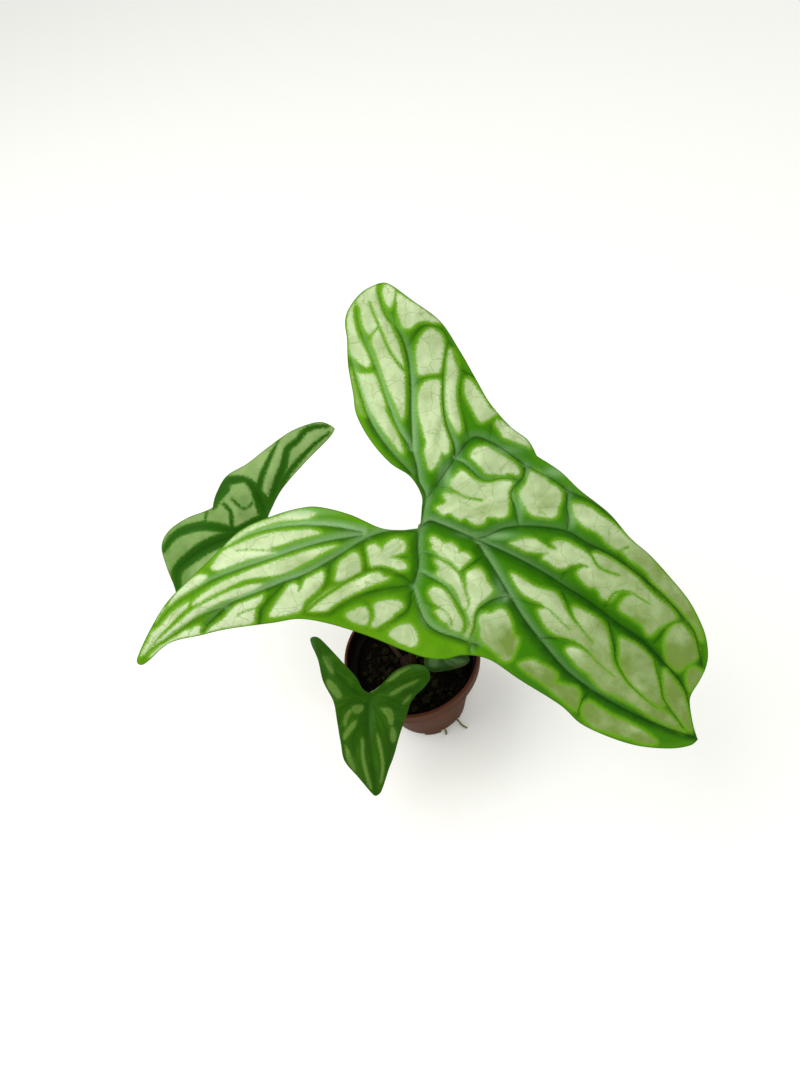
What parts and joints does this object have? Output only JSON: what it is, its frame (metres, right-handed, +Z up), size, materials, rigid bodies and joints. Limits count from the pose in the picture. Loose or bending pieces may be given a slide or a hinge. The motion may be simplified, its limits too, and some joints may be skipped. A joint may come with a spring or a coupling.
{
  "type": "potted cercestis mirabilis",
  "caption": "House plant with lobed, silver-patterned arrow-shaped leaves on slim stalks, growing from a short crown in a tapered plastic nursery pot of soil.",
  "frame": {"origin": "centre of the pot's flat base, on the surface it stands on", "axes": "+Z up through the pot; -Y towards the side that the large blade faces; +X towards the large blade's apex side"},
  "size_m": [0.3325, 0.3087, 0.3558],
  "materials": {
    "leaf_silver": "living leaf: bright green net of veins round pale silver-green fields, waxy satin gloss",
    "leaf_dark": "living leaf: deep green with grey-green streaks, waxy satin gloss",
    "petiole": "living leaf stalk, pale green going brown-pink at its foot, faintly ribbed",
    "crown": "brown corky crown with old leaf scars",
    "root": "olive-brown aerial root, dry skin",
    "soil": "damp dark mix of peat, bark and fine crumbs",
    "pot": "thin red-brown moulded plastic, satin, a little dusty"
  },
  "bodies": {
    "root": {"blade_large": "leaf_silver", "blade_middle": "leaf_dark", "blade_small": "leaf_dark", "blade_young": "leaf_dark", "petiole_large": "petiole", "petiole_middle": "petiole", "petiole_small": "petiole", "petiole_young": "petiole", "crown": "crown", "root_long": "root", "root_short": "root", "soil": "soil", "pot": "pot"}
  },
  "joints": []
}
